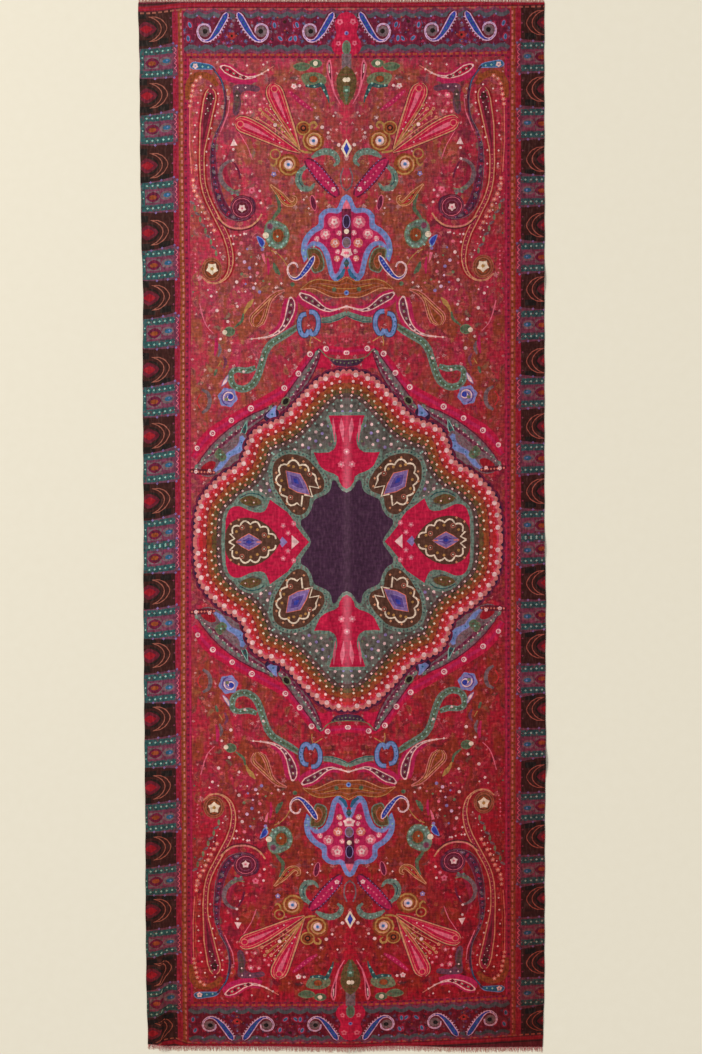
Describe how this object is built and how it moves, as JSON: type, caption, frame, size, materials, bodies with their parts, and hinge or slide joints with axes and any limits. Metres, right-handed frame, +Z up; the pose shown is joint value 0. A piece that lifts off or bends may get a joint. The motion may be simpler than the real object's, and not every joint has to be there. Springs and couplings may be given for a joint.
{
  "type": "paisley scarf",
  "caption": "Long rectangular woven scarf laid out flat, with a printed paisley medallion field and a short fringe at each end.",
  "frame": {"origin": "on the surface it lies on, under the middle of the laid-out scarf", "axes": "+Y along the scarf's length, +X across its width, +Z up, away from the surface it lies on"},
  "size_m": [0.7054, 1.8278, 0.0048],
  "materials": {
    "printed_cloth": "matt, lightly crinkled plain weave printed in crimson, brown, teal and violet",
    "fringe_yarn": "matt pink-tan yarn"
  },
  "bodies": {
    "root": {"scarf_cloth": "printed_cloth", "fringe_top": "fringe_yarn", "fringe_bottom": "fringe_yarn"}
  },
  "joints": []
}
